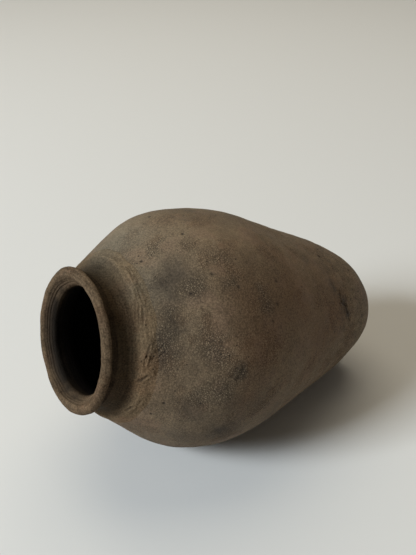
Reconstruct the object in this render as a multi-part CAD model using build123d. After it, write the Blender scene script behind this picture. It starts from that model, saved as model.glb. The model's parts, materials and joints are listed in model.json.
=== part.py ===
from build123d import *
import os
from math import cos, radians, sin

# A small Greek pithos, a storage jar built by hand from a clay slab, a stack of wall courses,
# a neck collar and a thick rolled lip, luted together and fired. It lies on its side.
# Lengths are in millimetres. Each piece is drawn upright, the jar's axis on Z and its base at
# zero, and is then laid down: X runs from the mouth to the base, Z is up, the floor is Z = 0.

# Base slab, and the coil of clay pressed into the inside corner
base_flat_radius = 52.0
base_thickness = 16.0
base_edge_radius = 70.5
base_edge_wall = 14.0
corner_coil_leg = 16.0

# Wall courses from the base up: height, how far the course flares out from its lower edge to
# its upper edge, and the wall at its upper edge
foot_height = 49.0
foot_flare = 22.5
foot_wall = 12.5
lower_wall_height = 53.0
lower_wall_flare = 15.4
lower_wall_wall = 11.5
waist_height = 52.0
waist_flare = 14.4
waist_wall = 11.0
lower_belly_height = 52.0
lower_belly_flare = 14.4
lower_belly_wall = 10.5
upper_belly_height = 58.0
upper_belly_flare = 7.4
upper_belly_wall = 10.0
lower_shoulder_height = 48.0
lower_shoulder_flare = -6.6
lower_shoulder_wall = 10.0
middle_shoulder_height = 38.0
middle_shoulder_flare = -22.6
middle_shoulder_wall = 10.5
upper_shoulder_height = 36.0
upper_shoulder_flare = -26.4
upper_shoulder_wall = 11.5
upper_shoulder_slope = 38.0
joint_lap = 4.0
outline_pull = 0.9

# Neck collar: how far in from the shoulder's edge and above it the neck is narrowest, its wall
# there, and how far the round throat runs down from there
neck_inset = 14.5
neck_rise = 19.0
neck_wall = 14.5
throat_rise = 9.0

# Band of wet clay smeared over the joint, up the cove of the neck and down the shoulder
band_rise = 10.0
band_reach = 19.0
band_thickness = 1.0

# Rolled lip: its roll turns up over the crest into the mouth, and down under the edge, in
# degrees from straight out
lip_height = 18.0
lip_throat_rise = 6.0
lip_overhang = 6.0
lip_roll_radius = 7.0
lip_roll_over = 140.0
lip_roll_under = 10.0

# The strip worn flat where the jar lies on its side
worn_depth = 0.4
tilt_step = 0.05
tilt_limit = 40.0
outline_samples = 400
quarter_turn = 90.0


def at(radius, height):
    return Vector(radius, 0, height)


def inside(curve, point, wall, lap):
    along = curve.tangent_at(curve.param_at_point(point))
    inward = Vector(-along.Z, 0, along.X)
    return point + inward * wall - along * lap


def ring(*edges):
    return revolve(Face(Wire(edges)), axis=Axis.Z)


# Courses: name, height, flare, and wall at the upper edge
courses = [
    ("foot_course", foot_height, foot_flare, foot_wall),
    ("lower_wall_course", lower_wall_height, lower_wall_flare, lower_wall_wall),
    ("waist_course", waist_height, waist_flare, waist_wall),
    ("lower_belly_course", lower_belly_height, lower_belly_flare, lower_belly_wall),
    ("upper_belly_course", upper_belly_height, upper_belly_flare, upper_belly_wall),
    ("lower_shoulder_course", lower_shoulder_height, lower_shoulder_flare, lower_shoulder_wall),
    ("middle_shoulder_course", middle_shoulder_height, middle_shoulder_flare, middle_shoulder_wall),
    ("upper_shoulder_course", upper_shoulder_height, upper_shoulder_flare, upper_shoulder_wall),
]

# The outer line of slab and courses, through each joint
base_edge = at(base_edge_radius, base_thickness)
joints = [base_edge]
for name, height, flare, wall in courses:
    joints.append(joints[-1] + at(flare, height))
shoulder_turn = radians(upper_shoulder_slope)
shoulder_run = at(-sin(shoulder_turn), cos(shoulder_turn))
outer_line = Spline(
    at(base_flat_radius, 0),
    *joints,
    tangents=[at(1, 0), shoulder_run],
    tangent_scalars=[outline_pull, outline_pull],
)

# The inner line: each course laps down the inside of the one below
inner_foot = at(base_edge_radius - base_edge_wall, base_thickness)
inner_joints = [inner_foot]
for joint, (name, height, flare, wall) in zip(joints[1:], courses):
    inner_joints.append(inside(outer_line, joint, wall, joint_lap))
inner_line = Spline(*inner_joints)

pieces = {}

# Base slab with its rounded heel
base_centre = at(0, 0)
base_top_centre = at(0, base_thickness)
heel = outer_line.trim(0.0, base_edge)
pieces["base_slab"] = ring(
    Line(base_centre, at(base_flat_radius, 0)),
    heel,
    Line(base_edge, base_top_centre),
    Line(base_top_centre, base_centre),
)

# Wall courses, bevelled at each joint
for i, (name, height, flare, wall) in enumerate(courses):
    pieces[name] = ring(
        outer_line.trim(joints[i], joints[i + 1]),
        Line(joints[i + 1], inner_joints[i + 1]),
        inner_line.trim(inner_joints[i], inner_joints[i + 1]),
        Line(inner_joints[i], joints[i]),
    )

# Coil pressed into the corner of slab and foot, hollowed by the potter's thumb
coil_on_wall = inner_line.trim_to_length(0.0, corner_coil_leg)
coil_top = coil_on_wall @ 1
coil_toe = inner_foot - at(corner_coil_leg, 0)
pieces["base_corner_coil"] = ring(
    Line(coil_toe, inner_foot),
    coil_on_wall,
    TangentArc(coil_toe, coil_top, tangent=at(1, 0)),
)

# Neck collar, coved outside and rounded into the throat inside
shoulder_top = joints[-1]
shoulder_top_inner = inner_joints[-1]
neck_radius = shoulder_top.X - neck_inset
neck_level = shoulder_top.Z + neck_rise
throat_radius = neck_radius - neck_wall
neck_top = at(neck_radius, neck_level)
throat_top = at(throat_radius, neck_level)
throat_foot = at(throat_radius, neck_level - throat_rise)
cove = TangentArc(neck_top, shoulder_top, tangent=at(0, -1))
pieces["neck_collar"] = ring(
    cove,
    Line(shoulder_top, shoulder_top_inner),
    TangentArc(throat_foot, shoulder_top_inner, tangent=at(0, -1)),
    Line(throat_foot, throat_top),
    Line(throat_top, neck_top),
)

# Luting band lying on the cove and on the shoulder
shoulder_edge = outer_line.trim(joints[-2], shoulder_top)
band_on_shoulder = shoulder_edge.trim(1 - band_reach / shoulder_edge.length, 1.0)
band_on_cove = cove.trim(1 - band_rise / cove.length, 1.0)
band_outward = at(cos(shoulder_turn), sin(shoulder_turn))
band_crown = shoulder_top + band_outward * band_thickness
pieces["neck_luting_band"] = ring(
    ThreePointArc(band_on_cove @ 0, band_crown, band_on_shoulder @ 0),
    band_on_shoulder,
    band_on_cove,
)

# Lip rolled outwards over the neck
mouth_level = neck_level + lip_height
lip_radius = neck_radius + lip_overhang
lip_throat = at(throat_radius, neck_level + lip_throat_rise)
roll_centre = at(lip_radius - lip_roll_radius, mouth_level - lip_roll_radius)


def on_roll(turn):
    return roll_centre + at(cos(radians(turn)), sin(radians(turn))) * lip_roll_radius


roll_inner = on_roll(lip_roll_over)
roll_under = on_roll(-lip_roll_under)
pieces["rim_lip"] = ring(
    Line(neck_top, throat_top),
    Line(throat_top, lip_throat),
    Line(lip_throat, roll_inner),
    ThreePointArc(roll_inner, on_roll(0), roll_under),
    TangentArc(neck_top, roll_under, tangent=at(0, 1)),
)

# The jar settles on its side at the tilt that brings its centre of mass lowest
mass_level = Compound(list(pieces.values())).center(CenterOf.MASS).Z
outline = [outer_line @ (i / outline_samples) for i in range(outline_samples + 1)]
outline.append(on_roll(0))


def mass_above_floor(tilt):
    turn = radians(tilt)
    return max(p.X * cos(turn) - (p.Z - mass_level) * sin(turn) for p in outline)


tilts = [i * tilt_step for i in range(int(tilt_limit / tilt_step))]
lying_tilt = min(tilts, key=mass_above_floor)
lying = Rot(0, lying_tilt - quarter_turn, 0)
laid = {name: lying * piece for name, piece in pieces.items()}

# Worn strip, then the origin at the middle of the footprint, on the floor
lowest = min(piece.bounding_box().min.Z for piece in laid.values())
floor_level = lowest + worn_depth
floor_side = 2 * mouth_level
floor_block = Box(floor_side, floor_side, floor_side, align=(Align.CENTER, Align.CENTER, Align.MAX))
floor = Pos(0, 0, floor_level) * floor_block
for name, piece in laid.items():
    if piece.bounding_box().min.Z < floor_level:
        laid[name] = piece - floor
footprint = Compound(list(laid.values())).bounding_box()
place = Pos(-footprint.center().X, 0, -floor_level)

os.makedirs("parts", exist_ok=True)
for name, piece in laid.items():
    export_step(place * piece, f"parts/{name}.step")
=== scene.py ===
import json
from collections import namedtuple
from math import ceil, cos, pi, radians, sin
from types import SimpleNamespace

import bpy
import numpy as np
from mathutils import Matrix, Vector, noise
from mathutils.bvhtree import BVHTree


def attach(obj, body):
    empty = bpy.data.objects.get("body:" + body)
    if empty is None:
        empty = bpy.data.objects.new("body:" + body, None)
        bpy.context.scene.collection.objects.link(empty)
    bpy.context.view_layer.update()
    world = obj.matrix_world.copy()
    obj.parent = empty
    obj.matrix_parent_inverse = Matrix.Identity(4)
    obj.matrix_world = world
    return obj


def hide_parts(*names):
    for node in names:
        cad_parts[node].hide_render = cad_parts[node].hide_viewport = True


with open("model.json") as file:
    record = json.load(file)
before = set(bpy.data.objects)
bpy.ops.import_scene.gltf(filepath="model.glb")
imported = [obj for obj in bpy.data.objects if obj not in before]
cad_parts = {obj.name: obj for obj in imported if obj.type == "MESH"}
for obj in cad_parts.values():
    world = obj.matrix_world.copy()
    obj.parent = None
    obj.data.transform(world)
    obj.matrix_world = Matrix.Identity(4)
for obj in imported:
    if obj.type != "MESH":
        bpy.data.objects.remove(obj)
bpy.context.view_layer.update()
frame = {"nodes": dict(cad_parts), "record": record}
mm = 0.001  # lengths below are written in millimetres and turned into metres
tiny = 1e-12  # keeps a division from meeting zero

# The jar's own frame: heights run up its axis from the base, turn 0 is the side that lies uppermost
mounts = {mount["name"]: mount for mount in frame["record"]["mounts"]}
mouthWay = np.array(mounts["mouth"]["axis"])
baseCentre = np.array(mounts["base"]["pos_m"])
sideWay = np.array((0.0, 1.0, 0.0))
upWay = np.cross(sideWay, mouthWay)


def onJar(radius, height, turn):
    outward = np.cos(turn)[..., None] * upWay + np.sin(turn)[..., None] * sideWay
    return baseCentre + height[..., None] * mouthWay + radius[..., None] * outward


def unit(vectors):
    return vectors / (np.linalg.norm(vectors, axis=-1)[..., None] + tiny)


# Camera
cameraView = {
    "azimuth": -36.534,  # degrees
    "elevation": 31.58,
    "focalPixels": 700.0,
    "picture": (416, 555),
    "sensor": 36.0,
    "aimHeight": 440 * mm,  # this point of the jar's axis
    "aimPixel": (68.3, 342.0),  # is seen here
    "aimDepth": 757.6 * mm,  # this far in front of the lens
}


class PhotoCamera:
    def __init__(self, view):
        azimuth, elevation = radians(view["azimuth"]), radians(view["elevation"])
        self.focal = view["focalPixels"]
        self.middle = np.array(view["picture"]) / 2
        self.right = np.array((cos(azimuth), sin(azimuth), 0.0))
        level = np.array((-sin(azimuth), cos(azimuth), 0.0))
        self.forward = level * cos(elevation) - np.array((0.0, 0.0, sin(elevation)))
        self.up = np.cross(self.right, self.forward)
        aim = baseCentre + mouthWay * view["aimHeight"]
        self.place = aim - self.wayTo(view["aimPixel"]) * view["aimDepth"]
        self.make(view)

    def wayTo(self, pixel):
        x, y = (np.array(pixel) - self.middle) / self.focal
        return self.forward + self.right * x - self.up * y

    def make(self, view):
        data = bpy.data.cameras.new("photoCamera")
        data.sensor_width = view["sensor"]
        data.lens = self.focal / max(view["picture"]) * view["sensor"]
        camera = bpy.data.objects.new("photoCamera", data)
        bpy.context.scene.collection.objects.link(camera)
        columns = (self.right, self.up, -self.forward, self.place)
        camera.matrix_world = Matrix([[*row] for row in np.column_stack(columns)] + [[0, 0, 0, 1]])
        bpy.context.scene.camera = camera


camera = PhotoCamera(cameraView)
print("camera placed at", camera.place.round(3))


# Where a pixel's line of sight meets the jar's wall
def wallTree():
    corners, faces = [], []
    for node in frame["nodes"].values():
        first = len(corners)
        corners += [vertex.co.copy() for vertex in node.data.vertices]
        faces += [[first + corner for corner in face.vertices] for face in node.data.polygons]
    return BVHTree.FromPolygons(corners, faces)


wall = wallTree()


def wallAt(pixel):
    hit = wall.ray_cast(Vector(camera.place), Vector(camera.wayTo(pixel)))[0]
    return np.array(hit)


def placed(spots):  # each starts with its pixel, which becomes a point on the wall
    return [(wallAt(pixel), *sizes) for pixel, *sizes in spots]


# Section lines, read from the seam of each turned node
stack = [
    "base_slab",
    "foot_course",
    "lower_wall_course",
    "waist_course",
    "lower_belly_course",
    "upper_belly_course",
    "lower_shoulder_course",
    "middle_shoulder_course",
    "upper_shoulder_course",
    "neck_collar",
    "rim_lip",
]
seamSlack = 0.002 * mm
spotDigits = 6


def sectionLoop(node):
    mesh = frame["nodes"][node].data
    offsets = np.array([vertex.co[:] for vertex in mesh.vertices]) - baseCentre
    radius, height = offsets @ upWay, offsets @ mouthWay
    onSeam = (abs(offsets @ sideWay) < seamSlack) & (radius > 0)
    section = np.column_stack([radius, height]).round(spotDigits).tolist()
    spots = {i: tuple(section[i]) for i in np.flatnonzero(onSeam)}
    links = {}
    for edge in mesh.edges:
        a, b = (spots.get(corner) for corner in edge.vertices)
        if a and b and a != b:
            links.setdefault(a, set()).add(b)
            links.setdefault(b, set()).add(a)
    # walk along the seam from a loose end, or from the lowest spot of a closed loop
    line = [min(links, key=lambda spot: (len(links[spot]), spot[1], spot[0]))]
    ahead = links[line[0]]
    while ahead:
        line.append(min(ahead))
        ahead = links[line[-1]] - set(line)
    return line


def lengthsAlong(line):
    return np.concatenate([[0], np.cumsum(np.linalg.norm(np.diff(line, axis=0), axis=1))])


def wayRound(loop, start, end, longer=False):  # the shorter or the longer way from start to end
    first, last = loop.index(start), loop.index(end)
    turned = loop[first:] + loop[:first]
    cut = (last - first) % len(loop) + 1
    ways = [turned[:cut], [turned[0]] + turned[:cut - 2:-1]]
    return sorted(ways, key=lambda way: lengthsAlong(way)[-1])[longer]


loops = {node: sectionLoop(node) for node in frame["nodes"]}
outerJoints, innerJoints = [], []
for lower, upper in zip(stack, stack[1:]):
    shared = sorted(set(loops[lower]) & set(loops[upper]))
    outerJoints.append(shared[-1])
    innerJoints.append(shared[0])
coilOnWall = sorted(set(loops["base_corner_coil"]) & set(loops["foot_course"]))
coilCorner, coilTop = coilOnWall[0], coilOnWall[-1]
coilToe = min(loops["base_corner_coil"])
innerJoints[0] = coilCorner
print("section read:", {node: len(loop) for node, loop in loops.items()})

# One skin line: under the base, up the outside, over the lip, down the inside, across the slab
skinStep = 0.4 * mm
skinSoftness = 1.3 * mm
sameSpot = 0.01  # points nearer than this share of a step count as one


def curveThrough(points, step):  # a smooth line through the points, in even steps
    points = np.array(points)
    knots = lengthsAlong(points)
    slopes = np.gradient(points, knots, axis=0)
    along = np.linspace(0, knots[-1], ceil(knots[-1] / step) + 1)
    span = np.clip(np.searchsorted(knots, along, side="right") - 1, 0, len(knots) - 2)
    width = (knots[span + 1] - knots[span])[:, None]
    t = (along - knots[span])[:, None] / width
    return (
        points[span] * (1 + 2 * t) * (1 - t) ** 2
        + points[span + 1] * t * t * (3 - 2 * t)
        + slopes[span] * width * t * (1 - t) ** 2
        - slopes[span + 1] * width * t * t * (1 - t)
    )


def straight(start, end, step):
    share = np.linspace(0, 1, ceil(np.linalg.norm(np.subtract(end, start)) / step) + 1)
    return np.outer(1 - share, start) + np.outer(share, end)


def joined(lines):
    return np.concatenate([np.asarray(line)[:-1] for line in lines[:-1]] + [np.asarray(lines[-1])])


def skinLine():
    walls = stack[1:-1]
    heel = sorted(loops["base_slab"], key=lambda spot: spot[1])
    outside = [wayRound(loops[node], *ends) for node, *ends in zip(walls, outerJoints, outerJoints[1:])]
    over = wayRound(loops["rim_lip"], outerJoints[-1], innerJoints[-1], longer=True)
    inside = [wayRound(loops[node], *ends) for node, *ends in zip(walls, innerJoints[1:], innerJoints)]
    aboveCoil = [(radius, height) for radius, height in joined(inside[::-1]) if height > coilTop[1]]
    hollow = wayRound(loops["base_corner_coil"], coilTop, coilToe)
    parts = [
        straight((0, heel[0][1]), heel[0], skinStep),
        curveThrough(joined([heel] + outside), skinStep),
        curveThrough(over, skinStep),
        curveThrough(aboveCoil, skinStep),
        curveThrough(hollow, skinStep),
        straight(coilToe, (0, coilToe[1]), skinStep),
    ]
    return np.concatenate(parts)


def readAt(along, knots, line):
    return np.column_stack([np.interp(along, knots, line[:, axis]) for axis in (0, 1)])


def evened(line, step):
    gaps = np.linalg.norm(np.diff(line, axis=0), axis=1)
    line = line[np.concatenate([[True], gaps > step * sameSpot])]
    knots = lengthsAlong(line)
    return readAt(np.linspace(0, knots[-1], ceil(knots[-1] / step) + 1), knots, line)


def softened(line, softness, step):  # rounds off hard corners and leaves the ends in place
    reach = ceil(3 * softness / step)  # the bell is cut off at three widths
    kernel = np.exp(-0.5 * (np.arange(-reach, reach + 1) * step / softness) ** 2)
    kernel /= kernel.sum()
    before = 2 * line[0] - line[reach:0:-1]
    after = 2 * line[-1] - line[-2:-reach - 2:-1]
    padded = np.concatenate([before, line, after])
    return np.column_stack([np.convolve(padded[:, axis], kernel, "valid") for axis in (0, 1)])


skin = softened(evened(skinLine(), skinStep), skinSoftness, skinStep)
skinAlong = lengthsAlong(skin)
skinRun = np.gradient(skin, skinAlong, axis=0)
skinOut = unit(np.column_stack([skinRun[:, 1], -skinRun[:, 0]]))
crestAlong = skinAlong[skin[:, 1].argmax()]
print("skin line", len(skin), "points,", round(skinAlong[-1] / mm), "mm long")


def alongAt(spot):
    return skinAlong[np.linalg.norm(skin - np.array(spot), axis=1).argmin()]


def skinAt(along):
    return readAt(along, skinAlong, skin), readAt(along, skinAlong, skinOut)


# Each kind of unevenness has a place of its own in the noise
seeds = {
    "lumps": 0,
    "mouth": 7,
    "wiping": 23,
    "lipLines": 29,
    "tools": 31,
    "lipGrooves": 37,
    "band": 41,
    "inside": 50,
    "stainsAndPaintedLight": 61,
}
seedSpread = 17.3  # keeps those places apart


def lumps(points, size, seed):
    moved = points.reshape(-1, 3) / size + seed * seedSpread
    return np.array([noise.noise(point) for point in moved.tolist()]).reshape(points.shape[:-1])


def manyLumps(points, sizes, seed):
    return sum(height * lumps(points, size, seed + i) for i, (size, height) in enumerate(sizes))


def roundAndAlong(along, turn, size, wraps, seed):
    places = [(s / size, wraps * cos(t), wraps * sin(t) + seed) for s in along for t in turn]
    return np.array([noise.noise(place) for place in places]).reshape(len(along), len(turn))


def eased(low, high, value):
    share = np.clip((value - low) / (high - low), 0, 1)
    return share * share * (3 - 2 * share)


def within(settings, value):  # comes in over the stretch "from", goes over the stretch "to"
    return eased(*settings["from"], value) * (1 - eased(*settings["to"], value))


def bell(away, width):
    return np.exp(-(away / width) ** 2)


def fromSpot(points, spot):
    return np.linalg.norm(points - spot, axis=-1)


def fromSegment(points, start, end):
    way = end - start
    share = np.clip((points - start) @ way / (way @ way), 0, 1)
    return fromSpot(points, start + share[..., None] * way)


# Lumps that the hand left in the wet clay: size and height of each
handWork = {
    "lumps": [(80 * mm, 1.1 * mm), (30 * mm, 0.6 * mm), (13 * mm, 0.26 * mm), (5 * mm, 0.08 * mm)],
    "insideLumps": [(60 * mm, 1.2 * mm), (18 * mm, 0.5 * mm)],
    "insideOver": 30 * mm,  # past the crest of the lip the inside's own work comes in over this length
    "lostInside": 0.5,  # share of the outside's lumps that doesn't come through the wall
    "coilGroove": 0.5 * mm,  # between courses, left on the inside
    "coilGrooveWidth": 5 * mm,
}

# Broad swellings and hollows: pixel of the photograph, reach, height
swellings = [
    ((120, 232), 36 * mm, 2.2 * mm),
    ((132, 221), 26 * mm, 1.4 * mm),
    ((205, 213), 52 * mm, -4.0 * mm),
    ((272, 231), 36 * mm, -2.8 * mm),
    ((348, 268), 26 * mm, 2.8 * mm),
    ((156, 438), 40 * mm, -3.2 * mm),
    ((262, 408), 70 * mm, 2.4 * mm),
    ((340, 352), 36 * mm, -2.4 * mm),
    ((354.9, 346.5), 26 * mm, -3.2 * mm),
    ((84, 261), 16 * mm, -2.8 * mm),
    ((58, 275), 22 * mm, 1.5 * mm),
    ((90, 410), 12 * mm, 1.0 * mm),
]

# Strokes dragged through the wet clay: start and end pixel, width, depth, height of the pushed-up rim
strokes = [
    ((144.6, 367), (147.4, 357), 0.9 * mm, 1.2 * mm, 0.7 * mm),
    ((147.4, 357), (151.4, 350), 0.9 * mm, 1.1 * mm, 0.6 * mm),
    ((145.8, 360), (150.8, 344), 1.0 * mm, 1.1 * mm, 0.6 * mm),
    ((148.6, 365), (153, 352), 0.8 * mm, 0.9 * mm, 0.6 * mm),
    ((152, 341), (153.8, 334), 0.9 * mm, 0.9 * mm, 0.4 * mm),
    ((145, 343), (147, 336), 0.8 * mm, 0.6 * mm, 0.3 * mm),
    ((152.6, 366), (157.6, 356), 0.8 * mm, 0.6 * mm, 0.5 * mm),
    ((155, 350), (160, 339), 0.8 * mm, 0.6 * mm, 0.4 * mm),
    ((157, 354), (164, 344), 0.8 * mm, 0.6 * mm, 0.4 * mm),
    ((158, 358), (166, 351), 0.8 * mm, 0.6 * mm, 0.4 * mm),
    ((158, 362), (166, 360), 0.8 * mm, 0.5 * mm, 0.4 * mm),
    ((137, 382.5), (152, 374), 1.2 * mm, 0.8 * mm, 0.7 * mm),
    ((147, 375), (153, 370), 1.3 * mm, 0.9 * mm, 0.4 * mm),
    ((125, 411), (134, 407.2), 1.1 * mm, 1.2 * mm, 0.5 * mm),
    ((137, 406.5), (143, 400), 1.3 * mm, 1.1 * mm, 0.3 * mm),
    ((127, 265), (135, 283), 1.0 * mm, 1.0 * mm, 0.4 * mm),
    ((135, 283), (143, 303), 1.0 * mm, 1.1 * mm, 0.4 * mm),
    ((133, 280), (138.5, 302), 0.8 * mm, 0.5 * mm, 0.3 * mm),
    ((143, 303), (143.5, 326), 1.0 * mm, 0.8 * mm, 0.3 * mm),
    ((139.5, 302), (139, 332), 0.8 * mm, 0.5 * mm, 0.3 * mm),
    ((136, 296), (136, 326), 0.8 * mm, 0.4 * mm, 0.3 * mm),
    ((97, 256), (113, 253), 1.0 * mm, 0.45 * mm, 0.3 * mm),
    ((236.5, 379), (243, 367), 1.6 * mm, 0.3 * mm, 0.2 * mm),
    ((232, 376), (237, 367.5), 1.5 * mm, 0.2 * mm, 0.2 * mm),
    ((339.5, 291), (341, 302), 1.6 * mm, 1.0 * mm, 0.5 * mm),
    ((341, 302), (346, 306), 1.6 * mm, 1.1 * mm, 0.5 * mm),
    ((346, 306), (347, 312), 1.7 * mm, 1.2 * mm, 0.5 * mm),
    ((347, 312), (350, 320), 1.6 * mm, 1.0 * mm, 0.5 * mm),
]

# Pits where grit or straw burnt out: pixel, width, depth
pits = [
    ((149.5, 217), 1.5 * mm, 0.8 * mm),
    ((182.5, 233.5), 1.6 * mm, 0.9 * mm),
    ((141, 261), 1.4 * mm, 0.8 * mm),
    ((212, 274), 1.5 * mm, 0.9 * mm),
    ((191, 294), 1.6 * mm, 0.9 * mm),
    ((239, 287.5), 1.3 * mm, 0.8 * mm),
    ((319, 256), 2.0 * mm, 0.9 * mm),
    ((276, 281), 1.5 * mm, 0.9 * mm),
    ((277, 304), 1.4 * mm, 0.9 * mm),
    ((273, 321), 1.4 * mm, 0.8 * mm),
    ((347, 271), 1.5 * mm, 0.8 * mm),
    ((164, 403), 1.4 * mm, 0.8 * mm),
    ((151, 414), 1.4 * mm, 0.8 * mm),
]

# Shallow dents left by a stone or a finger: pixel, width, depth
dents = [
    ((332, 284), 3.0 * mm, 0.7 * mm),
    ((342, 296), 2.2 * mm, 0.8 * mm),
    ((344.5, 303), 2.2 * mm, 0.9 * mm),
    ((348, 309), 2.4 * mm, 1.0 * mm),
    ((350, 318), 2.8 * mm, 0.8 * mm),
    ((340, 290), 2.4 * mm, 0.5 * mm),
    ((305, 257), 4.0 * mm, 0.5 * mm),
    ((262, 343), 5.0 * mm, 0.5 * mm),
    ((178, 275), 10.0 * mm, 0.8 * mm),
    ((212, 318), 9.0 * mm, 0.6 * mm),
]
toolMarks = {
    "rimSpread": 2.2,  # a stroke's rim lies this many widths out
    "strokeShadow": 1.1 * mm,  # a stroke this deep is dark all through
    "pitShade": 1.6,  # over 1, so that a pit is dark nearly to its edge
    "wobble": 0.8 * mm,  # edges of strokes, pits and dents are unsteady
    "wobbleSize": 6 * mm,
}
swellSpots, pitSpots, dentSpots = placed(swellings), placed(pits), placed(dents)
strokeSpots = [(wallAt(start), wallAt(end), *sizes) for start, end, *sizes in strokes]


def broadWork(points):
    lift = manyLumps(points, handWork["lumps"], seeds["lumps"])
    for spot, reach, height in swellSpots:
        lift += height * bell(fromSpot(points, spot), reach)
    return lift


def toolWork(points):
    lift = np.zeros(points.shape[:-1])
    wobble = toolMarks["wobble"] * lumps(points, toolMarks["wobbleSize"], seeds["tools"])
    for start, end, width, depth, rim in strokeSpots:
        away = fromSegment(points, start, end) + wobble
        lift += rim * bell(away - toolMarks["rimSpread"] * width, width) - depth * bell(away, width)
    for spot, width, depth in pitSpots + dentSpots:
        lift -= depth * bell(fromSpot(points, spot) + wobble, width)
    return lift


def insideWork(points, height):
    lift = manyLumps(points, handWork["insideLumps"], seeds["inside"])
    for _, level in innerJoints[1:-1]:
        lift -= handWork["coilGroove"] * bell(height - level, handWork["coilGrooveWidth"])
    return lift


# Wiping with wet fingers round the neck leaves fine ridges
wiping = {
    "size": 1.8 * mm,
    "round": 5.0,  # the larger, the shorter each ridge
    "height": 0.2 * mm,
    "from": (376 * mm, 396 * mm),
    "to": (424 * mm, 436 * mm),
}


def wipedRidges(along, turn, height):
    wiped = within(wiping, height)
    if not wiped.any():
        return 0.0
    ridges = roundAndAlong(along, turn, wiping["size"], wiping["round"], seeds["wiping"])
    return wiped * wiping["height"] * ridges


# Fine lines round the inside of the lip, and three grooves that wander a little
lipLines = {
    "size": 1.5 * mm,
    "round": 2.0,
    "height": 0.35 * mm,
    "from": (1 * mm, 4 * mm),  # past the crest of the lip
    "to": (14 * mm, 24 * mm),
    "grooves": (6.6 * mm, 9.4 * mm, 12.4 * mm),
    "grooveWidth": 0.8 * mm,
    "grooveDepth": 0.6 * mm,
    "grooveShade": 0.5,
    "wander": 1.6 * mm,
    "wanderSize": 26 * mm,
}


def lipGrooves(points, pastCrest):
    moved = pastCrest + lipLines["wander"] * lumps(points, lipLines["wanderSize"], seeds["lipGrooves"])
    return sum(bell(moved - groove, lipLines["grooveWidth"]) for groove in lipLines["grooves"])


def lipRidges(points, along, turn):
    pastCrest = along - crestAlong
    lined = within(lipLines, pastCrest)[:, None]
    if not lined.any():
        return 0.0
    ridges = roundAndAlong(along, turn, lipLines["size"], lipLines["round"], seeds["lipLines"])
    grooves = lipGrooves(points, pastCrest[:, None])
    return lined * (lipLines["height"] * ridges - lipLines["grooveDepth"] * grooves)


# The mouth is a little oval and a little askew
mouthShape = {
    "between": (392 * mm, 428 * mm),  # up from the base it comes in over this stretch
    "oval": 0.02,
    "tilt": (0.016, -0.022),
    "waves": [(34 * mm, 0.6 * mm), (11 * mm, 0.3 * mm), (4 * mm, 0.1 * mm)],
    "undercut": 2.4 * mm,  # the lip's underside is drawn in here
    "undercutAt": 426.5 * mm,
    "undercutWidth": 3.2 * mm,
}


# Points of the worked clay, and of the bare skin under them
def clayAt(along, turn, lift=0.0):
    place, out = skinAt(along)
    radius = np.repeat(place[:, :1], len(turn), axis=1)
    height = np.repeat(place[:, 1:], len(turn), axis=1)
    turns = np.repeat(turn[None], len(along), axis=0)
    flat = onJar(radius, height, turns)
    inside = eased(0, handWork["insideOver"], along - crestAlong)[:, None]
    atMouth = eased(*mouthShape["between"], height)
    undercut = bell(height - mouthShape["undercutAt"], mouthShape["undercutWidth"])
    undercut *= (along < crestAlong)[:, None]

    push = broadWork(flat) * (1 - handWork["lostInside"] * inside) + insideWork(flat, height) * inside
    push += (toolWork(flat) + wipedRidges(along, turn, height)) * (1 - inside)
    push += manyLumps(flat, mouthShape["waves"], seeds["mouth"]) * atMouth
    push += lipRidges(flat, along, turn) - mouthShape["undercut"] * undercut + lift

    tilt = mouthShape["tilt"][0] * np.cos(turns) + mouthShape["tilt"][1] * np.sin(turns)
    height = height + atMouth * tilt * radius + out[:, 1:] * push
    radius = radius * (1 + atMouth * mouthShape["oval"] * np.cos(2 * turns)) + out[:, :1] * push
    points = onJar(np.maximum(radius, 0), height, turns)
    points[..., 2] = np.maximum(points[..., 2], 0)  # worn flat where the jar lies
    return points, flat


# Ring pieces: stretches of the skin joined by hidden joint faces
ringSettings = {
    "turns": 600,
    "fineTurns": 1100,  # where strokes and wiping show
    "outerRow": 1.3 * mm,
    "fineRow": 0.7 * mm,
    "innerRow": 5 * mm,
    "ghostRow": 0.8 * mm,  # one more row past each end, for the normals alone
}
Stretch = namedtuple("Stretch", "points normals flat along")
coarseTurns = np.linspace(0, 2 * pi, ringSettings["turns"], endpoint=False)
fineTurns = np.linspace(0, 2 * pi, ringSettings["fineTurns"], endpoint=False)


def gridNormals(points):
    acrossRows = points[2:] - points[:-2]
    acrossTurns = np.roll(points, -1, axis=1) - np.roll(points, 1, axis=1)
    return unit(np.cross(acrossTurns[1:-1], acrossRows))


def stretchOf(start, end, row, turns=coarseTurns, lift=None):
    rows = np.linspace(start, end, ceil(abs(end - start) / row) + 1)
    ghost = ringSettings["ghostRow"] * np.sign(end - start)
    ghosted = np.concatenate([[start - ghost], rows, [end + ghost]])
    points, flat = clayAt(ghosted, turns, lift(ghosted, turns) if lift else 0.0)
    return Stretch(points[1:-1], gridNormals(points), flat[1:-1], np.repeat(rows, len(turns)))


def hiddenRing(spot):  # a corner of the section that lies inside the clay
    turns = coarseTurns[None]
    points = onJar(np.full_like(turns, spot[0]), np.full_like(turns, spot[1]), turns)
    return Stretch(points, np.zeros_like(points), points, np.full(turns.size, skinAlong[-1]))


def quadsBetween(lower, upper):
    right = np.roll(np.arange(len(lower)), -1)
    return np.column_stack([lower, lower[right], upper[right], upper])


def fanTo(centre, row):
    right = np.roll(np.arange(len(row)), -1)
    return np.column_stack([row, row[right], np.full(len(row), centre)])


def faceNormals(places, faces):
    corners = places[faces]
    flat = unit(np.cross(corners[:, 1] - corners[:, 0], corners[:, 2] - corners[:, 0]))
    return np.repeat(flat[:, None], faces.shape[1], axis=1)


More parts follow.
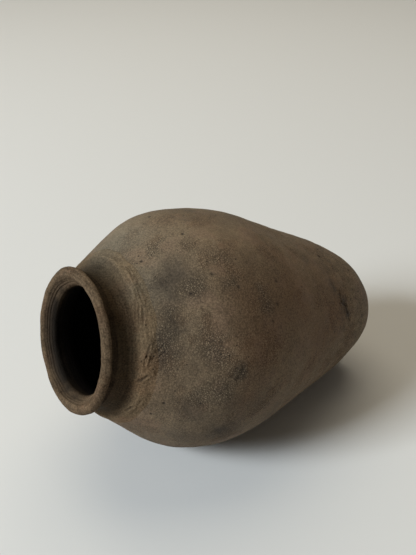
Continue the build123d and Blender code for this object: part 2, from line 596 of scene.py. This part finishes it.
def ringMesh(name, stretches, poles=False):  # with poles, the first and last row close to a point
    points = np.concatenate([stretch.points for stretch in stretches])
    normals = np.concatenate([stretch.normals for stretch in stretches])
    rows, columns = points.shape[:2]
    index = np.arange(rows * columns).reshape(rows, columns)
    places = points.reshape(-1, 3)
    ends = np.cumsum([len(stretch.points) for stretch in stretches])
    onSkin = [row for row in range(rows - 1) if row + 1 not in ends]
    skinFaces = np.concatenate([quadsBetween(index[row], index[row + 1]) for row in onSkin])
    joints = [(end - 1, end % rows) for end in (ends[:-1] if poles else ends)]
    jointFaces = np.concatenate([quadsBetween(index[low], index[high]) for low, high in joints])
    faces = skinFaces.tolist() + jointFaces.tolist()
    cornerNormals = [normals.reshape(-1, 3)[skinFaces], faceNormals(places, jointFaces)]
    if poles:
        centres = np.stack([points[0].mean(axis=0), points[-1].mean(axis=0)])
        fans = np.concatenate([fanTo(len(places), index[0, ::-1]), fanTo(len(places) + 1, index[-1])])
        places = np.concatenate([places, centres])
        faces += fans.tolist()
        cornerNormals.append(faceNormals(places, fans))
    mesh = bpy.data.meshes.new(name)
    mesh.from_pydata(places.tolist(), [], faces)
    mesh.polygons.foreach_set("use_smooth", np.ones(len(mesh.polygons), bool))
    mesh.normals_split_custom_set(np.concatenate([part.reshape(-1, 3) for part in cornerNormals]).tolist())
    return mesh


# Stains, painted light and painted shade that have a place in the photograph: pixel, reach, strength
stainsAndPaintedLight = {
    "smoke": [
        ((172, 271), 14 * mm, 0.5),
        ((184, 277), 14 * mm, 0.5),
        ((160, 284), 13 * mm, 0.5),
        ((171, 295), 14 * mm, 0.5),
        ((170, 320), 12 * mm, 0.6),
        ((164, 345), 15 * mm, 0.6),
        ((157, 360), 9 * mm, 0.5),
        ((176, 330), 9 * mm, 0.5),
        ((240, 372), 9 * mm, 0.8),
        ((305, 258), 9 * mm, 0.5),
        ((333, 285), 5 * mm, 0.8),
        ((343, 300), 4 * mm, 1.0),
        ((349, 314), 5 * mm, 1.0),
        ((346, 309), 10 * mm, 0.5),
        ((343, 302), 13 * mm, 0.4),
        # painted shade: these five darken the lower side of the belly, over a real smoke patch near (222,
        # 429)
        ((190, 411), 20 * mm, 0.7),
        ((180, 438), 22 * mm, 0.6),
        ((222, 429), 24 * mm, 0.9),
        ((234, 402), 14 * mm, 0.5),
        ((258, 402), 18 * mm, 0.4),
    ],
    "film": [  # thin soot in the throat, with painted shade on the left inside of the lip, which faces away from the window
        ((58, 286), 10 * mm, 0.7),
        ((47, 303), 17 * mm, 1.2),
        ((48, 324), 17 * mm, 1.2),
        ((50, 345), 17 * mm, 1.2),
        ((56, 366), 14 * mm, 1.0),
        ((60, 377), 11 * mm, 0.8),
        ((67, 388), 11 * mm, 0.9),
        ((76, 398), 9 * mm, 0.6),
    ],
    "stipple": [
        ((156, 248), 12 * mm, 1.0),
        ((185, 248), 12 * mm, 0.5),
        ((218, 256), 11 * mm, 0.5),
        ((194, 289), 14 * mm, 0.9),
        ((230, 283), 8 * mm, 0.8),
        ((172, 312), 10 * mm, 0.8),
        ((213, 343), 15 * mm, 1.0),
        ((222, 360), 10 * mm, 0.9),
        ((218, 392), 15 * mm, 1.0),
        ((197, 398), 9 * mm, 0.7),
        ((240, 372), 9 * mm, 1.0),
        ((166, 345), 16 * mm, 1.0),
        ((262, 290), 9 * mm, 1.0),
        ((267, 307), 10 * mm, 1.0),
    ],
    "warm": [
        ((250, 300), 44 * mm, 0.6),
        ((300, 300), 46 * mm, 0.85),
        ((262, 355), 40 * mm, 0.7),
        ((338, 310), 36 * mm, 0.95),
        ((318, 345), 34 * mm, 0.7),
        ((316, 270), 24 * mm, 0.4),
        ((160, 220), 16 * mm, 0.5),
        ((245, 398), 14 * mm, 0.8),
        ((150, 385), 26 * mm, 0.3),
    ],
    # painted light: the top of the belly and its right side made lighter in the colour
    "bright": [
        ((240, 238), 30 * mm, 1.2),
        ((205, 228), 30 * mm, 0.6),
        ((128, 230), 30 * mm, 0.8),
        ((152, 248), 22 * mm, 0.6),
        ((240, 352), 20 * mm, 0.7),
        ((290, 262), 30 * mm, 0.4),
        ((306, 292), 44 * mm, 0.12),
        ((318, 268), 26 * mm, 0.1),
    ],
    "ashen": [
        ((118, 240), 44 * mm, 0.9),
        ((148, 285), 26 * mm, 0.8),
        ((100, 262), 24 * mm, 0.7),
    ],
}
stainAndLightWobble = {"size": 14 * mm, "amount": 7 * mm}
stainAndLightSpots = {kind: placed(spots) for kind, spots in stainsAndPaintedLight.items()}
paintedNeckShadeSpan = {"from": (398 * mm, 408 * mm), "to": (424 * mm, 432 * mm)}  # painted shade in the hollow of the neck, where the lip's shadow falls
insideDarkening = {"film": (0.0, 17.6 * mm), "soot": (11 * mm, 27 * mm)}  # past the crest of the lip the inside gets darker
clayMasks = (*stainsAndPaintedLight, "grime", "soot", "pitted")


# painted shade in the hollows of pits, strokes and the lip's grooves
def hollowShadeAt(points, pastCrest):
    dark = np.zeros(len(points))
    for spot, width, _ in pitSpots:
        inPit = toolMarks["pitShade"] * bell(fromSpot(points, spot), width)
        dark = np.maximum(dark, np.minimum(inPit, 1))
    for start, end, width, depth, _ in strokeSpots:
        shade = min(depth / toolMarks["strokeShadow"], 1)
        dark = np.maximum(dark, shade * bell(fromSegment(points, start, end), width))
    lined = (pastCrest > 0) & (pastCrest < lipLines["to"][1])
    dark[lined] = lipLines["grooveShade"] * lipGrooves(points[lined], pastCrest[lined])
    return dark


def claySpots(points, along):
    shifts = [lumps(points, stainAndLightWobble["size"], seeds["stainsAndPaintedLight"] + axis) for axis in range(3)]
    moved = points + stainAndLightWobble["amount"] * np.stack(shifts, axis=-1)
    height = (points - baseCentre) @ mouthWay
    pastCrest = along - crestAlong
    masks = {}
    for kind, spots in stainAndLightSpots.items():
        total = sum(strength * bell(fromSpot(moved, spot), reach) for spot, reach, strength in spots)
        masks[kind] = np.minimum(total, 1)
    masks["film"] *= eased(*insideDarkening["film"], pastCrest)
    # painted shade in the neck, under the lip
    masks["grime"] = within(paintedNeckShadeSpan, height) * (pastCrest < 0)
    masks["soot"] = eased(*insideDarkening["soot"], pastCrest)
    masks["pitted"] = hollowShadeAt(points, pastCrest)
    return masks


# Shader maths
class Field:
    def __init__(self, bench, socket):
        self.bench = bench
        self.socket = socket

    def maths(self, operation, first, second):
        return self.bench.node("ShaderNodeMath", {"operation": operation}, {0: first, 1: second})

    def __add__(self, other):
        return self.maths("ADD", self, other)

    def __radd__(self, other):
        return self.maths("ADD", other, self)

    def __sub__(self, other):
        return self.maths("SUBTRACT", self, other)

    def __rsub__(self, other):
        return self.maths("SUBTRACT", other, self)

    def __mul__(self, other):
        return self.maths("MULTIPLY", self, other)

    def __rmul__(self, other):
        return self.maths("MULTIPLY", other, self)

    def centred(self):  # a share of 0 to 1 as a swing about its middle
        return self - 0.5


class NodeBench:
    def __init__(self, tree):
        self.tree = tree

    def feed(self, made, sockets):
        for name, value in sockets.items():
            if isinstance(value, Field):
                self.tree.links.new(value.socket, made.inputs[name])
            else:
                made.inputs[name].default_value = value

    def node(self, kind, settings=None, sockets=None, out=0):
        made = self.tree.nodes.new(kind)
        for name, value in (settings or {}).items():
            setattr(made, name, value)
        self.feed(made, sockets or {})
        return Field(self, made.outputs[out])

    def blend(self, share, first, second, how="MIX"):
        settings = {"data_type": "RGBA", "blend_type": how}
        return self.node("ShaderNodeMix", settings, {0: share, 6: first, 7: second}, out=2)

    def grey(self, value):
        return self.node("ShaderNodeCombineColor", None, {0: value, 1: value, 2: value})

    def point(self, x, y, z):
        return self.node("ShaderNodeCombineXYZ", None, {0: x, 1: y, 2: z})

    def vector(self, operation, first, second, out=0):
        return self.node("ShaderNodeVectorMath", {"operation": operation}, {0: first, 1: second}, out)

    def between(self, low, high, value):
        sockets = {"Value": value, "From Min": low, "From Max": high}
        return self.node("ShaderNodeMapRange", {"interpolation_type": "SMOOTHSTEP"}, sockets)

    def grain(self, place, scale, detail, roughness):
        sockets = {"Vector": place, "Scale": scale, "Detail": detail, "Roughness": roughness}
        return self.node("ShaderNodeTexNoise", None, sockets)

    def cells(self, place, scale, feature):
        sockets = {"Vector": place, "Scale": scale}
        return self.node("ShaderNodeTexVoronoi", {"feature": feature}, sockets, "Distance")

    def mask(self, name):
        return self.node("ShaderNodeAttribute", {"attribute_name": name}, None, "Fac")


clayColours = {
    "pale": (0.158, 0.114, 0.070, 1),
    "olive": (0.106, 0.075, 0.046, 1),
    "warm": (0.134, 0.074, 0.038, 1),
    "rosy": (0.148, 0.094, 0.062, 1),
    "ash": (0.118, 0.100, 0.072, 1),
    "smoke": (0.040, 0.030, 0.021, 1),
    "hollowShade": (0.012, 0.009, 0.007, 1),
    "film": (0.019, 0.015, 0.012, 1),
    "soot": (0.002, 0.0012, 0.0008, 1),
    "dust": (0.255, 0.205, 0.140, 1),
}
bodyFinish = {
    "stipple": 1.0,
    "wiped": 0.25,
    "mottled": 0.6,
    "tint": (1.0, 1.0, 1.0, 1),
    "roughness": 0.74,
    "specular": 0.2,
    "bump": 0.8,
}
lutingFinish = {
    "stipple": 0.4,
    "wiped": 0.8,
    "mottled": 0.6,
    "tint": (1.04, 1.01, 0.97, 1),
    "roughness": 0.8,
    "specular": 0.05,
    "bump": 0.8,
}
lipFinish = {
    "stipple": 0.7,
    "wiped": 1.2,
    "mottled": 1.1,
    "tint": (0.77, 0.73, 0.72, 1),
    "roughness": 0.85,
    "specular": 0.04,
    "bump": 1.0,
}

# Noise in the clay: scale, detail, roughness
clayNoise = {
    "clouds": (11.0, 4.0, 0.6),
    "patches": (26.0, 4.0, 0.6),
    "blush": (32.0, 3.0, 0.5),
    "mottle": (95.0, 4.0, 0.65),
    "specks": (500.0, 4.0, 0.8),
    "lines": (1.0, 3.0, 0.55),
}
blushMoved = (3.1, 1.7, 0.4)
clayCells = {"crackle": 440.0, "grit": 95.0}
wipeLines = {"along": 300.0, "outward": 240.0, "round": 14.0}  # run round the jar
scrapeLines = {"along": 12.0, "round": 110.0}  # run along it

# Where each pattern starts to show, and where it shows in full
clayEdges = {
    "pale": (0.40, 0.60),
    "warmPatches": (0.48, 0.66),
    "rosy": (0.52, 0.64),
    "smokeClouds": (0.56, 0.74),
    "smokeGrain": (0.05, 0.6),
    "smokedAndShaded": (0.1, 0.9),
    "stipple": (0.0, 1.0),
    "stipplePatches": (0.48, 0.64),
    "coarse": (0.35, 0.9),
    "cells": (0.08, 0.22),
    "cellSpecks": (0.3, 0.7),
    "gaps": (0.0, 0.15),
    "specks": (0.30, 0.70),
    "streaks": (0.35, 0.7),
    "scrapes": (0.3, 0.7),
    "aboveFoot": (60 * mm, 190 * mm),
    "grit": (0.05, 0.11),
    "gritPatches": (0.42, 0.56),
}

# How much each pattern counts for in the colour and the roughness
clayShares = {
    "paleClouds": 0.6,
    "palePatches": 0.25,
    "paleMottle": 0.15,
    "warmPatches": 0.4,
    "warm": 0.7,
    "rosy": 0.35,
    "ash": 0.8,
    "smokeClouds": 0.3,
    "stippleAll": 0.25,
    "stipplePatches": 0.4,
    "stippleOffRosy": 0.3,
    "light": 0.32,
    "lightCoarse": 0.12,
    "lightLostInSmokeAndShade": 0.45,
    "gaps": 0.8,
    "gapsCoarse": 0.2,
    "specks": 0.9,
    "specksAtFoot": 0.5,
    "mottleAtFoot": 0.9,
    "streaks": 0.3,
    "scrapes": 0.3,
    "bright": 0.4,
    "grime": 0.67,
    "inHollows": 0.85,
    "mottleRough": 0.3,
    "stippleRough": 0.1,
}

# How high each pattern stands in the bump
clayRises = {
    "specks": 0.25,
    "mottle": 0.9,
    "wiped": 0.9,
    "scrapes": 0.4,
    "cells": 0.4,
    "gaps": 0.5,
    "burntOut": 0.8,
}
bumpHeight = 0.8 * mm


def clayPatterns(bench, finish):
    clay = SimpleNamespace(**{mask: bench.mask(mask) for mask in clayMasks})
    place = bench.node("ShaderNodeTexCoord", None, None, "Object")
    fromBase = bench.vector("SUBTRACT", place, tuple(baseCentre))
    fromAxis = bench.vector("CROSS_PRODUCT", fromBase, tuple(mouthWay))
    radius = bench.node("ShaderNodeVectorMath", {"operation": "LENGTH"}, {0: fromAxis}, "Value")
    height = bench.vector("DOT_PRODUCT", fromBase, tuple(mouthWay), "Value")
    upward = bench.vector("DOT_PRODUCT", fromBase, tuple(upWay), "Value")
    sideward = bench.vector("DOT_PRODUCT", fromBase, tuple(sideWay), "Value")
    wipeAcross = height * wipeLines["along"] - radius * wipeLines["outward"]
    wipePlace = bench.point(wipeAcross, upward * wipeLines["round"], sideward * wipeLines["round"])
    scrapeAlong = height * scrapeLines["along"]
    scrapePlace = bench.point(scrapeAlong, upward * scrapeLines["round"], sideward * scrapeLines["round"])

    clay.wiped = bench.grain(wipePlace, *clayNoise["lines"])
    clay.clouds = bench.grain(place, *clayNoise["clouds"])
    clay.patches = bench.grain(place, *clayNoise["patches"])
    clay.mottle = bench.grain(place, *clayNoise["mottle"])
    clay.specks = bench.between(*clayEdges["specks"], bench.grain(place, *clayNoise["specks"]))
    blush = bench.grain(bench.vector("ADD", place, blushMoved), *clayNoise["blush"])
    clay.rosy = bench.between(*clayEdges["rosy"], blush)
    clay.foot = 1 - bench.between(*clayEdges["aboveFoot"], height)
    scraped = bench.between(*clayEdges["scrapes"], bench.grain(scrapePlace, *clayNoise["lines"]))
    clay.scrapes = scraped.centred() * clay.foot

    crackle = bench.cells(place, clayCells["crackle"], "DISTANCE_TO_EDGE")
    cellSpecks = bench.between(*clayEdges["cellSpecks"], clay.specks)
    clay.cells = bench.between(*clayEdges["cells"], crackle) * cellSpecks
    clay.gaps = 1 - bench.between(*clayEdges["gaps"], crackle)
    stippled = bench.between(*clayEdges["stipplePatches"], clay.patches) * clayShares["stipplePatches"]
    stippled = clay.stipple + stippled + clayShares["stippleAll"] - clay.rosy * clayShares["stippleOffRosy"]
    clay.stippled = bench.between(*clayEdges["stipple"], stippled) * finish["stipple"]
    grit = 1 - bench.between(*clayEdges["grit"], bench.cells(place, clayCells["grit"], "F1"))
    clay.burntOut = grit * bench.between(*clayEdges["gritPatches"], clay.patches)
    return clay


# Clouds of pale, warm, rosy and ashen clay, and smoke, with painted shade on the lower belly
def groundColour(bench, clay):
    pale = clay.clouds * clayShares["paleClouds"] + clay.patches * clayShares["palePatches"]
    pale = bench.between(*clayEdges["pale"], pale + clay.mottle * clayShares["paleMottle"])
    warm = bench.between(*clayEdges["warmPatches"], clay.patches) * clayShares["warmPatches"]
    warm = warm + clay.warm * clayShares["warm"]
    smoke = bench.between(*clayEdges["smokeClouds"], clay.clouds) * clayShares["smokeClouds"] + clay.smoke
    smoke = smoke * bench.between(*clayEdges["smokeGrain"], clay.mottle)
    colour = bench.blend(pale, clayColours["olive"], clayColours["pale"])
    colour = bench.blend(warm, colour, clayColours["warm"])
    colour = bench.blend(clay.rosy * clayShares["rosy"], colour, clayColours["rosy"])
    colour = bench.blend(clay.ashen * clayShares["ash"], colour, clayColours["ash"])
    return bench.blend(smoke, colour, clayColours["smoke"])


# Light grains and dark gaps of the crackled skin
def stippleOver(bench, clay, colour):
    coarse = bench.between(*clayEdges["coarse"], clay.stipple)
    smokedAndShaded = bench.between(*clayEdges["smokedAndShaded"], clay.smoke)
    light = coarse * clayShares["lightCoarse"] + clayShares["light"]
    light = light * (1 - smokedAndShaded * clayShares["lightLostInSmokeAndShade"])
    dark = coarse * clayShares["gapsCoarse"] + clayShares["gaps"]
    colour = bench.blend(clay.stippled * clay.cells * light, colour, clayColours["dust"])
    return bench.blend(clay.stippled * clay.gaps * dark, colour, clayColours["smoke"])


# Lighter and darker by specks, mottling and streaks of wiping and scraping, with painted light on the belly
# and painted shade in the neck
def shadeOver(bench, clay, finish, colour):
    streaks = bench.between(*clayEdges["streaks"], clay.wiped).centred() * finish["wiped"]
    specks = clay.specks.centred() * (clay.foot * clayShares["specksAtFoot"] + clayShares["specks"])
    mottle = clay.mottle.centred() * (clay.foot * clayShares["mottleAtFoot"] + finish["mottled"])
    shade = 1 + specks + streaks * clayShares["streaks"] + clay.scrapes * clayShares["scrapes"] + mottle
    # painted light lifts the top and the right side of the belly; painted shade darkens the neck under the
    # lip
    shade = (shade + clay.bright * clayShares["bright"]) * (1 - clay.grime * clayShares["grime"])
    return bench.blend(1.0, colour, bench.grey(shade), "MULTIPLY")


def hollowShadeAndDarkInside(bench, clay, finish, colour):
    # painted shade in pits, strokes, grooves and burnt-out grit, then the tint
    inHollows = bench.node("ShaderNodeMath", {"operation": "MAXIMUM"}, {0: clay.pitted, 1: clay.burntOut})
    colour = bench.blend(inHollows * clayShares["inHollows"], colour, clayColours["hollowShade"])
    colour = bench.blend(1.0, colour, finish["tint"], "MULTIPLY")
    # thin soot with painted shade on the left inside of the lip
    colour = bench.blend(clay.film, colour, clayColours["film"])
    # the inside turns near black past the crest of the lip
    return bench.blend(clay.soot, colour, clayColours["soot"])


def clayRise(clay, finish):
    rise = clay.specks * clayRises["specks"] + clay.mottle * clayRises["mottle"]
    rise = rise + clay.wiped * (finish["wiped"] * clayRises["wiped"]) + clay.scrapes * clayRises["scrapes"]
    stipple = clay.cells * clayRises["cells"] - clay.gaps * clayRises["gaps"]
    return rise + clay.stippled * stipple - clay.burntOut * clayRises["burntOut"]


def clayMaterial(name, finish):
    material = bpy.data.materials.new(name)
    material.use_nodes = True
    bench = NodeBench(material.node_tree)
    clay = clayPatterns(bench, finish)
    colour = stippleOver(bench, clay, groundColour(bench, clay))
    colour = hollowShadeAndDarkInside(bench, clay, finish, shadeOver(bench, clay, finish, colour))
    roughness = finish["roughness"] + clay.mottle.centred() * clayShares["mottleRough"]
    roughness = roughness + clay.stippled * clayShares["stippleRough"]
    bumpSockets = {"Strength": finish["bump"], "Distance": bumpHeight, "Height": clayRise(clay, finish)}
    shaderSockets = {
        "Base Color": colour,
        "Roughness": roughness,
        "Normal": bench.node("ShaderNodeBump", None, bumpSockets),
        "Specular IOR Level": finish["specular"],
    }
    bench.feed(material.node_tree.nodes["Principled BSDF"], shaderSockets)
    return material


clays = {
    "body_clay": clayMaterial("bodyClay", bodyFinish),
    "luting_clay": clayMaterial("lutingClay", lutingFinish),
    "lip_clay": clayMaterial("lipClay", lipFinish),
}
print("clays mixed:", ", ".join(clays))


# Pieces, each put together from stretches of the skin
def addPiece(name, node, slot, stretches, poles=False):
    mesh = ringMesh(name, stretches, poles)
    piece = bpy.data.objects.new(name, mesh)
    bpy.context.scene.collection.objects.link(piece)
    mesh.materials.append(clays[slot])
    flat = np.concatenate([stretch.flat for stretch in stretches]).reshape(-1, 3)
    along = np.concatenate([stretch.along for stretch in stretches])
    if poles:
        flat = np.concatenate([flat, flat[[0, -1]]])
        along = np.append(along, along[[0, -1]])
    for mask, values in claySpots(flat, along).items():
        layer = mesh.attributes.new(mask, "FLOAT", "POINT")
        layer.data.foreach_set("value", values.astype(np.float32))
    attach(piece, "root")
    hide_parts(node)


def skinBetween(start, end, row, turns=coarseTurns):
    return stretchOf(alongAt(start), alongAt(end), ringSettings[row], turns)


# Base slab, closed by a point in the middle of its underside and of its top
slabPole = 1.5 * mm  # radius of the rows round that point
underside = stretchOf(slabPole, alongAt(outerJoints[0]), ringSettings["outerRow"])
slabTop = stretchOf(alongAt(coilToe), skinAlong[-1] - slabPole, ringSettings["innerRow"])
addPiece("base", "base_slab", "body_clay", [underside, slabTop], poles=True)

# Coil in the corner, and the foot that stands over it
coilHollow = skinBetween(coilTop, coilToe, "outerRow")
addPiece("corner_coil", "base_corner_coil", "body_clay", [coilHollow, hiddenRing(coilCorner)])
footOuter = skinBetween(outerJoints[0], outerJoints[1], "outerRow")
footInner = skinBetween(innerJoints[1], coilTop, "innerRow")
addPiece("foot", "foot_course", "body_clay", [footOuter, footInner, hiddenRing(coilCorner)])


# Courses of the wall and the neck, each between its lower and its upper joint, finer towards the mouth
def addCourse(name, node, slot, row="outerRow", turns=coarseTurns):
    upper = stack.index(node)
    lower = upper - 1
    outer = skinBetween(outerJoints[lower], outerJoints[upper], row, turns)
    inner = skinBetween(innerJoints[upper], innerJoints[lower], "innerRow", turns)
    addPiece(name, node, slot, [outer, inner])


for node in stack[2:-3]:
    addCourse(node.removesuffix("_course"), node, "body_clay")
addCourse("upper_shoulder", "upper_shoulder_course", "body_clay", "fineRow", fineTurns)
addCourse("neck", "neck_collar", "luting_clay", "fineRow", fineTurns)
lipRound = skinBetween(outerJoints[-1], innerJoints[-1], "fineRow", fineTurns)
addPiece("lip", "rim_lip", "lip_clay", [lipRound])

# Luting band, a thin smear with a ragged edge
bandSettings = {
    "row": 0.7 * mm,
    "underRow": 4 * mm,
    "thickness": 0.55 * mm,
    "sunk": 0.2 * mm,  # the ragged edge dips under the skin
    "buried": 0.5 * mm,  # its underside lies this deep
    "ragged": 0.35,
    "raggedSize": 9 * mm,
    "raggedRound": 4.0,
    "edge": (0.1, 0.9),
}
bandSpots = sorted(loops["neck_luting_band"], key=lambda spot: spot[1])
bandEnds = alongAt(bandSpots[0]), alongAt(bandSpots[-1])


def bandLift(along, turn):
    size, wraps = bandSettings["raggedSize"], bandSettings["raggedRound"]
    ragged = bandSettings["ragged"] * roundAndAlong(along, turn, size, wraps, seeds["band"])
    share = ((along - bandEnds[0]) / (bandEnds[1] - bandEnds[0]))[:, None]
    crown = np.clip(4 * share * (1 - share), 0, 1)  # 1 in the middle of the band
    return bandSettings["thickness"] * eased(*bandSettings["edge"], crown + ragged) - bandSettings["sunk"]


def bandBuried(along, turn):
    return np.full((len(along), len(turn)), -bandSettings["buried"])


bandTop = stretchOf(*bandEnds, bandSettings["row"], fineTurns, bandLift)
bandUnder = stretchOf(*bandEnds[::-1], bandSettings["underRow"], fineTurns, bandBuried)
addPiece("luting_band", "neck_luting_band", "luting_clay", [bandTop, bandUnder])
print("pieces made")

# Floor
paperFloor = {
    "side": 14.0,
    "colour": (0.70, 0.70, 0.695, 1),
    "roughness": 0.95,
    "specular": 0.1,
}


def makeFloor():
    bpy.ops.mesh.primitive_plane_add(size=paperFloor["side"])
    floor = bpy.context.object
    floor.name = "floor"
    material = bpy.data.materials.new("paperSweep")
    material.use_nodes = True
    shaderSockets = {
        "Base Color": paperFloor["colour"],
        "Roughness": paperFloor["roughness"],
        "Specular IOR Level": paperFloor["specular"],
    }
    NodeBench(material.node_tree).feed(material.node_tree.nodes["Principled BSDF"], shaderSockets)
    floor.data.materials.append(material)


# Lamps: bearing from the x axis and height above the floor in degrees, how far off, how big
windowLight = {
    "bearing": 174.0,
    "height": 31.5,
    "away": 6.0,
    "size": (1.9, 1.9),
    "power": 385.0,
    "colour": (0.93, 1.01, 1.06),
}
ceilingLight = {
    "bearing": 62.0,
    "height": 65.0,
    "away": 5.0,
    "size": (5.0, 5.0),
    "power": 112.0,
    "colour": (1.1, 0.99, 0.78),
}
lampAim = Vector((0.0, 0.0, 0.12))


def makeLamp(name, light):
    data = bpy.data.lights.new(name, "AREA")
    data.shape = "RECTANGLE"
    data.size, data.size_y = light["size"]
    data.energy = light["power"]
    data.color = light["colour"]
    lamp = bpy.data.objects.new(name, data)
    bpy.context.scene.collection.objects.link(lamp)
    bearing, height = radians(light["bearing"]), radians(light["height"])
    way = Vector((cos(bearing) * cos(height), sin(bearing) * cos(height), sin(height)))
    lamp.location = lampAim + way * light["away"]
    lamp.rotation_euler = way.to_track_quat("Z", "Y").to_euler()


# The room lights the jar dimly, and is seen pale
room = {
    "glow": (0.105, 0.095, 0.08, 1),
    "shown": (0.6, 0.6, 0.57, 1),
    "seenBy": ("Is Camera Ray", "Is Glossy Ray", "Is Transmission Ray"),
}


def makeWorld():
    world = bpy.data.worlds.new("room")
    world.use_nodes = True
    bench = NodeBench(world.node_tree)
    rays = [bench.node("ShaderNodeLightPath", None, None, ray) for ray in room["seenBy"]]
    colour = bench.blend(rays[0] + rays[1] + rays[2], room["glow"], room["shown"])
    bench.feed(world.node_tree.nodes["Background"], {"Color": colour})
    bpy.context.scene.world = world


makeFloor()
makeLamp("window", windowLight)
makeLamp("ceiling", ceilingLight)
makeWorld()
bpy.context.scene.view_settings.view_transform = "Standard"
print("floor and light set")
